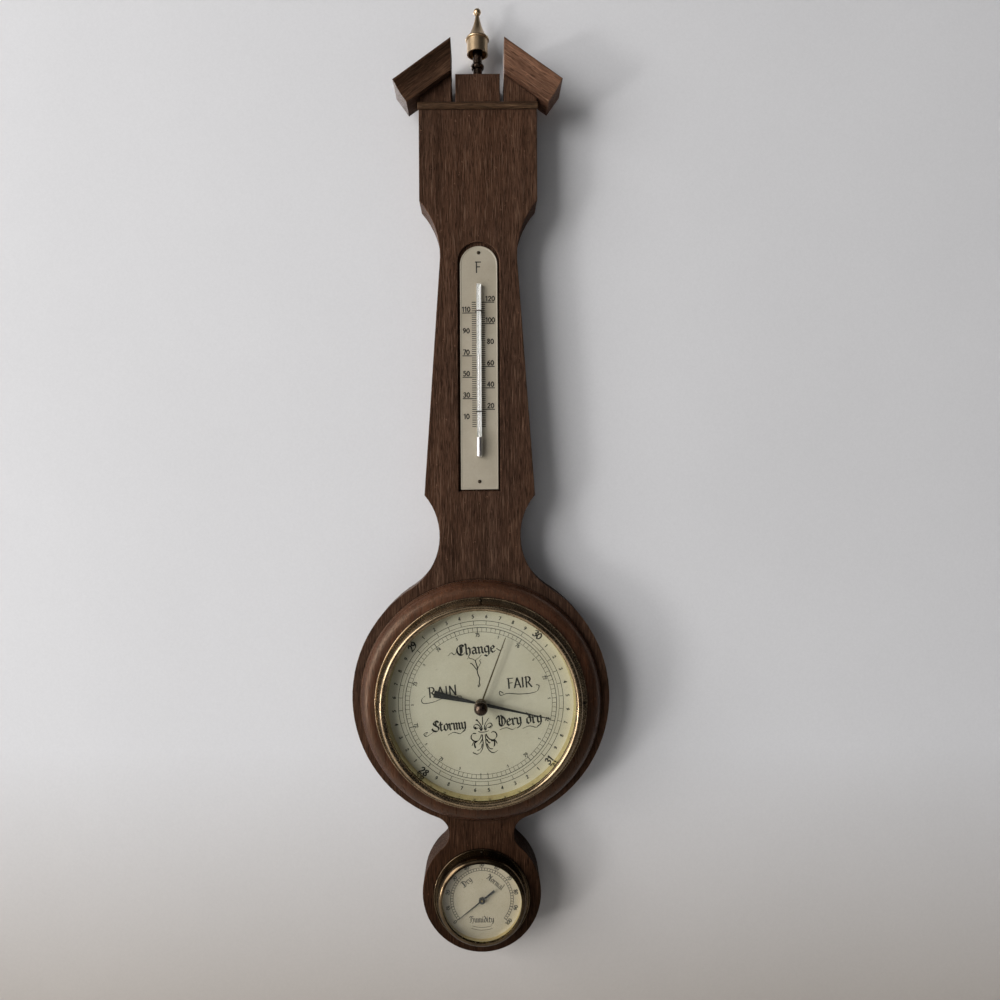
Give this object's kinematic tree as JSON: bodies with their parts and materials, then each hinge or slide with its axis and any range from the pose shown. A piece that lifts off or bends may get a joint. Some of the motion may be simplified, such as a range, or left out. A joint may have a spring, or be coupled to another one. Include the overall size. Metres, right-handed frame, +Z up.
{
  "type": "banjo barometer",
  "caption": "Wall-hung banjo barometer: shaped wooden board with a broken pediment, finial, thermometer plate, glazed barometer dial with a marker hand on a knob, and a small hygrometer below",
  "frame": {"origin": "centre of the hanging hole's mouth, on the flat back of the board", "axes": "+X to the right seen from the front, +Y into the wall, +Z up; the dials face -Y"},
  "size_m": [0.164, 0.0451, 0.6092],
  "materials": {
    "board_wood": "waxed, open grain",
    "ring_wood": "polished",
    "roof_wood": "waxed, open grain",
    "finial_brass": "aged",
    "finial_dark": "waxed",
    "plate_silvered": "satin, engraved",
    "dial_silvered": "satin, engraved",
    "hygro_dial_paint": "matte, printed",
    "bezel_brass": "aged, spun",
    "reflector_brass": "bright",
    "clear_glass": "clear",
    "tube_glass": "clear",
    "liquid_silver": "bright",
    "fixing_dark": "dulled",
    "hand_black": "satin",
    "hand_brass": "satin",
    "knob_bronze": "patinated",
    "can_tin": "dulled",
    "movement_brass": "satin",
    "movement_steel": "satin",
    "coil_strip": "matte"
  },
  "bodies": {
    "case": {"main_board": "board_wood", "dial_moulding": "ring_wood", "roof_moulding_left": "roof_wood", "roof_moulding_right": "roof_wood", "pediment_bead": "roof_wood", "finial_collar": "finial_dark", "finial_spire": "finial_brass", "finial_stud": "movement_steel", "thermometer_plate": "plate_silvered", "thermometer_tube": "tube_glass", "thermometer_liquid": "liquid_silver", "thermometer_clips": "movement_steel", "thermometer_pins": "fixing_dark", "barometer_case": "can_tin", "case_screws": "movement_steel", "barometer_dial": "dial_silvered", "dial_reflector": "reflector_brass", "barometer_glass": "clear_glass", "glass_bush": "hand_brass", "barometer_bezel": "bezel_brass", "bezel_screws": "fixing_dark", "movement_base": "movement_brass", "capsule_rear": "movement_brass", "capsule_front": "movement_brass", "capsule_nut": "movement_brass", "main_spring": "movement_steel", "spring_screws": "movement_steel", "lever_bracket": "movement_brass", "lever_pin": "movement_steel", "shaft_bracket": "movement_brass", "pull_chain": "movement_steel", "hairspring": "movement_steel", "hairspring_stud": "movement_brass", "lower_pillars": "movement_brass", "rear_bridge": "movement_brass", "upper_pillars": "movement_brass", "front_bridge": "movement_brass", "bridge_screws": "movement_steel", "hygrometer_case": "can_tin", "hygrometer_dial": "hygro_dial_paint", "hygrometer_spacer": "bezel_brass", "hygrometer_glass": "clear_glass", "hygrometer_bezel": "bezel_brass", "hygrometer_pins": "fixing_dark", "hygrometer_bracket": "movement_brass", "hygrometer_coil": "coil_strip"},
    "pressure_hand": {"pressure_hand": "hand_black", "hand_arbor": "movement_steel"},
    "rocking_shaft": {"rocking_shaft": "movement_steel"},
    "main_lever": {"main_lever": "movement_brass", "lever_link": "movement_steel"},
    "set_hand": {"set_hand": "hand_brass", "set_spindle": "hand_brass", "set_knob": "knob_bronze"},
    "hygrometer_hand": {"hygrometer_hand": "hand_black", "hygrometer_arbor": "movement_steel"},
    "adjusting_screw": {"adjusting_screw": "movement_brass"}
  },
  "joints": [
    {"name": "pressure_hand_turn", "type": "hinge", "parent": "case", "child": "pressure_hand", "pos_m": [0, -0.0315, -0.3514], "axis": [0, 1, 0], "range_deg": [-242.4, 27.6], "deforming": ["pull_chain", "hairspring"]},
    {"name": "rocking_shaft_turn", "type": "hinge", "parent": "case", "child": "rocking_shaft", "pos_m": [0.034, -0.0106, -0.3514], "axis": [0, 0, 1], "range_deg": [-3.3, 27.9]},
    {"name": "lever_tilt", "type": "hinge", "parent": "case", "child": "main_lever", "pos_m": [-0.0445, -0.01445, -0.3454], "axis": [0, 0, 1], "range_deg": [-1.5, 0.25]},
    {"name": "set_hand_turn", "type": "hinge", "parent": "case", "child": "set_hand", "pos_m": [0, -0.0358, -0.3514], "axis": [0, 1, 0], "continuous": true},
    {"name": "hygrometer_hand_turn", "type": "hinge", "parent": "case", "child": "hygrometer_hand", "pos_m": [0, -0.0255, -0.4772], "axis": [0, 1, 0], "range_deg": [-1.5, 258.5], "deforming": ["hygrometer_coil"]},
    {"name": "adjusting_screw_turn", "type": "hinge", "parent": "case", "child": "adjusting_screw", "pos_m": [-0.022, -0.004, -0.3454], "axis": [0, 1, 0], "range_deg": [-180, 180]}
  ],
  "couplings": [
    {"joint": "rocking_shaft_turn", "follows": "pressure_hand_turn", "ratio": -0.11452},
    {"joint": "lever_tilt", "follows": "pressure_hand_turn", "ratio": 0.006149}
  ]
}
